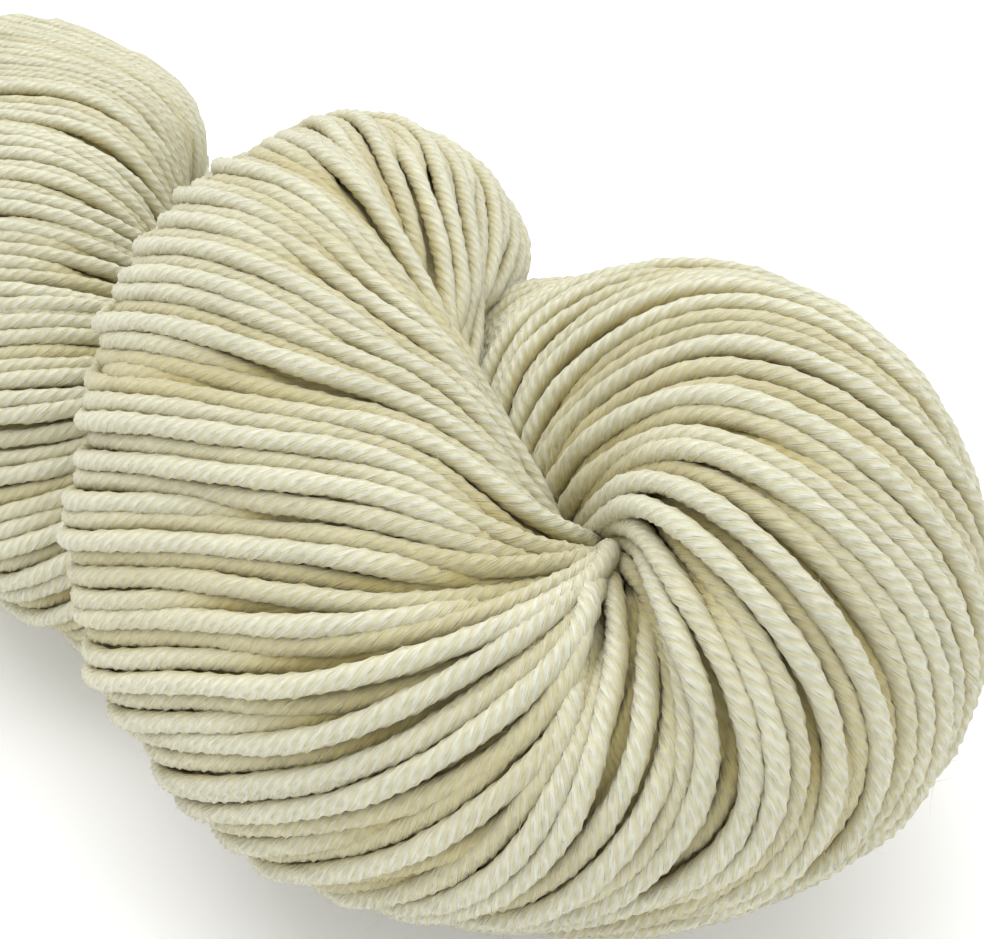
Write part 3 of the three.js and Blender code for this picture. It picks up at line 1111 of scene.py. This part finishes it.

# %% [markdown]
# ## The wool
#
# The mesh turns with the plies, but their rounding and their fibres are too fine for it, so
# the finish adds them. Round the strand the height is a cosine wave with one crest for each
# ply. The groove between two plies is painted darker and warmer: painted shade. Strands that
# lie deep, and the sides and undersides of every strand, get painted shade too, a darker and
# warmer cream where other strands would shade them. The map's first number counts turns
# round the strand and its second runs along it, so fine streaks can lean the way the fibres
# do, between the way of the plies and that of the yarn. A picture of wool would show its
# seams and repeats. This pattern has none.

# %% Nodes in a few words
def set_or_link(tree, target, value):
    """Sets an input to a plain value, or joins it to another node's output."""
    if isinstance(value, bpy.types.NodeSocket):
        tree.links.new(value, target)
    else:
        target.default_value = value


def worked_out(tree, kind, first, second=0.0):
    """One step of arithmetic on two numbers, such as first * second."""
    node = tree.nodes.new("ShaderNodeMath")
    node.operation = kind
    set_or_link(tree, node.inputs[0], first)
    set_or_link(tree, node.inputs[1], second)
    return node.outputs[0]


def attribute(tree, label):
    """A number that the mesh keeps for each point."""
    node = tree.nodes.new("ShaderNodeAttribute")
    node.attribute_name = label
    return node.outputs["Fac"]


def mixed(tree, share, first, second):
    """First colour where the share is 0, second where it is 1."""
    node = tree.nodes.new("ShaderNodeMix")
    node.data_type = "RGBA"
    set_or_link(tree, node.inputs["Factor"], share)
    for label, value in (("A", first), ("B", second)):
        target = [put for put in node.inputs if put.name == label and put.type == "RGBA"][0]
        set_or_link(tree, target, (*value, 1) if isinstance(value, tuple) else value)
    return [put for put in node.outputs if put.type == "RGBA"][0]


def noise(tree, vector, scale, detail):
    """Soft random spots: scale is their number in one unit of the vector."""
    node = tree.nodes.new("ShaderNodeTexNoise")
    tree.links.new(vector, node.inputs["Vector"])
    node.inputs["Scale"].default_value = scale
    node.inputs["Detail"].default_value = detail
    return node.outputs["Fac"]


# %% Wool
finish = {
    "Roughness": 0.9, "Sheen Weight": 0.3, "Sheen Roughness": 0.5, "Specular IOR Level": 0.15,
}
fibre_lean = 0.4              # share of the way from the plies' direction to the yarn's
streaks_round, streaks_along, streak_shift = 44.0, 6.0, 90.0  # to a turn, to a cm, to a tone
streak_height = 1.7           # of the fibres, against 1 for a ply
relief_depth = 0.00012        # metres
patches = 90.0                # to a metre
most_painted_shade = 0.9               # share of the deep colour, a painted shade, on what lies deepest or faces down
base_light, tone_light, patch_light, streak_light = 0.66, 0.06, 0.2, 0.5


def wool(name, plies, proud, groove, deep):
    """Cream wool. The three colours are for the plies, for the painted shade in their grooves,
    and for the painted shade on sunken strands and strand undersides.

    The bulge is 0.5 - 0.5 * cos(2 pi * plies * turn round the strand). The colour is mixed by
    bulge and by the painted shade attribute, then scaled by base + streak + patch + tone.
    """
    material = bpy.data.materials.new(name)
    material.use_nodes = True
    tree = material.node_tree
    nodes, links = tree.nodes, tree.links
    shader = nodes["Principled BSDF"]
    for label, value in finish.items():
        shader.inputs[label].default_value = value

    where = nodes.new("ShaderNodeTexCoord")
    parts = nodes.new("ShaderNodeSeparateXYZ")
    links.new(where.outputs["UV"], parts.inputs[0])
    around, along = parts.outputs["X"], parts.outputs["Y"]
    bulge = worked_out(tree, "COSINE", worked_out(tree, "MULTIPLY", around, TURN * plies))
    bulge = worked_out(tree, "SUBTRACT", 0.5, worked_out(tree, "MULTIPLY", bulge, 0.5))

    lean = worked_out(tree, "MULTIPLY", along, fibre_lean * 10 / ply_twist)
    across = worked_out(tree, "SUBTRACT", around, lean)
    tone = attribute(tree, "tone")
    fibre_place = nodes.new("ShaderNodeCombineXYZ")
    for axis, value, scale in (
        ("X", across, streaks_round), ("Y", along, streaks_along), ("Z", tone, streak_shift),
    ):
        links.new(worked_out(tree, "MULTIPLY", value, scale), fibre_place.inputs[axis])
    streak = noise(tree, fibre_place.outputs[0], 1.0, 4.0)
    patch = noise(tree, where.outputs["Object"], patches, 2.0)

    relief = nodes.new("ShaderNodeBump")
    relief.inputs["Strength"].default_value = 1.0
    relief.inputs["Distance"].default_value = relief_depth
    fibres = worked_out(tree, "MULTIPLY", streak, streak_height)
    links.new(worked_out(tree, "ADD", bulge, fibres), relief.inputs["Height"])
    links.new(relief.outputs["Normal"], shader.inputs["Normal"])

    # Painted shade on deep strands and on the undersides of strands, read from the mesh.
    painted_shade = worked_out(tree, "MULTIPLY", attribute(tree, "painted_shade"), most_painted_shade)
    # The groove colour between plies is painted shade.
    colour = mixed(tree, painted_shade, mixed(tree, bulge, groove, proud), deep)
    light = worked_out(tree, "MULTIPLY", streak, streak_light)
    for value, share in ((patch, patch_light), (tone, tone_light)):
        light = worked_out(tree, "ADD", light, worked_out(tree, "MULTIPLY", value, share))
    brighter = nodes.new("ShaderNodeVectorMath")
    brighter.operation = "SCALE"
    links.new(colour, brighter.inputs[0])
    links.new(worked_out(tree, "ADD", light, base_light), brighter.inputs["Scale"])
    links.new(brighter.outputs[0], shader.inputs["Base Color"])
    print(name, "has", len(nodes), "nodes")
    return material


# %% Cream, and cream darkened as painted shade
# Only the proud colour is the wool's own. The groove, deep and core colours are painted shade:
# darker, warmer cream where other strands would shade the wool.
proud_cream, groove_shade_cream = (0.70, 0.695, 0.56), (0.61, 0.585, 0.40)
shade_cream, core_shade_cream = (0.48, 0.405, 0.16), (0.53, 0.465, 0.22)
cream = wool("cream_wool", ply_count, proud_cream, groove_shade_cream, shade_cream)
# The inner layer's wool is painted shade all through: a darker cream than the strands'.
deep = wool("shaded_wool", ply_count, core_shade_cream, shade_cream, shade_cream)
for piece in strand_pieces + [hairs]:
    piece.data.materials.append(cream)
for piece in (core, loop_core):
    piece.data.materials.append(deep)
print("finishes:", cream.name, "and", deep.name)

# %% [markdown]
# ## What the pieces belong to
#
# The hank has one body, so every piece rides on its root, and every piece is yarn. The inner
# layer takes the solid's place in the picture.

# %% Bodies
pieces = strand_pieces + [hairs, core, loop_core]
for piece in pieces:
    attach(piece, "root")
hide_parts("hank")
print(len(pieces), "pieces ride on the root")

# %% [markdown]
# ## Floor and light
#
# The hank lies on a plain white surface in soft light from all sides, a little stronger from
# above. A room of white walls could be modelled, but one wide lamp and a white world do the
# same. The floor glows a little, so its shadows stay pale and light comes back up into the
# wool.

# %% Floor
floor_size = 6.0
floor_mesh = bpy.data.meshes.new("floor")
floor_mesh.from_pydata(
    [(x * floor_size, y * floor_size, 0) for x, y in ((-1, -1), (1, -1), (1, 1), (-1, 1))],
    [], [(0, 1, 2, 3)],
)
floor = bpy.data.objects.new("floor", floor_mesh)
bpy.context.scene.collection.objects.link(floor)
paint = bpy.data.materials.new("white_floor")
paint.use_nodes = True
for label, value in {
    "Base Color": (0.8, 0.8, 0.8, 1), "Roughness": 0.9, "Specular IOR Level": 0.0,
    "Emission Color": (1, 1, 1, 1), "Emission Strength": 0.2,
}.items():
    paint.node_tree.nodes["Principled BSDF"].inputs[label].default_value = value
floor_mesh.materials.append(paint)
print("floor", 2 * floor_size, "m wide")

# %% Light
world = bpy.data.worlds.new("room")
bpy.context.scene.world = world
world.use_nodes = True
world.node_tree.nodes["Background"].inputs["Color"].default_value = (1, 1, 1, 1)
world.node_tree.nodes["Background"].inputs["Strength"].default_value = 0.86

lamp_data = bpy.data.lights.new("window", "AREA")
lamp_data.energy = 28.0
lamp_data.size = 2.2
lamp = bpy.data.objects.new("window", lamp_data)
bpy.context.scene.collection.objects.link(lamp)
lamp.location = (-0.3, 0.1, 1.6)
lamp_aim = Vector((0, 0, 0.04))
lamp.rotation_mode = "QUATERNION"
lamp.rotation_quaternion = (-lamp.location + lamp_aim).to_track_quat("-Z", "Y")
print("lamp of", lamp_data.energy, "W and", round(lamp_data.size, 1), "m")

# %% [markdown]
# ## Camera
#
# The camera was found by matching the form's outline and creases to the photograph. It looks
# down on the fold from so near that the far end looks smaller. Nothing is out of focus, since
# other views use this camera too.

# %% Camera
camera_azimuth, camera_elevation = math.radians(50.71), math.radians(26.4)
camera_distance = 144.17      # mm
aim = np.array([-22.96, -14.58, 15.59])  # place on the wound form before its shift, in mm
photo_width, focal_length = 984, 1572.0  # in pixels
sensor_width = 36             # mm
back = np.array([
    math.sin(camera_azimuth) * math.cos(camera_elevation),
    -math.cos(camera_azimuth) * math.cos(camera_elevation),
    math.sin(camera_elevation),
])
camera_data = bpy.data.cameras.new("camera")
camera_data.sensor_width = sensor_width
camera_data.lens = sensor_width * focal_length / photo_width
camera_data.clip_start = 0.01
camera = bpy.data.objects.new("camera", camera_data)
bpy.context.scene.collection.objects.link(camera)
camera.location = Vector((aim + shift + back * camera_distance) * MM)
camera.rotation_mode = "QUATERNION"
camera.rotation_quaternion = Vector(-back).to_track_quat("-Z", "Y")
bpy.context.scene.camera = camera
bpy.context.scene.view_settings.view_transform = "Standard"
print("camera at", tuple(round(value, 3) for value in camera.location))
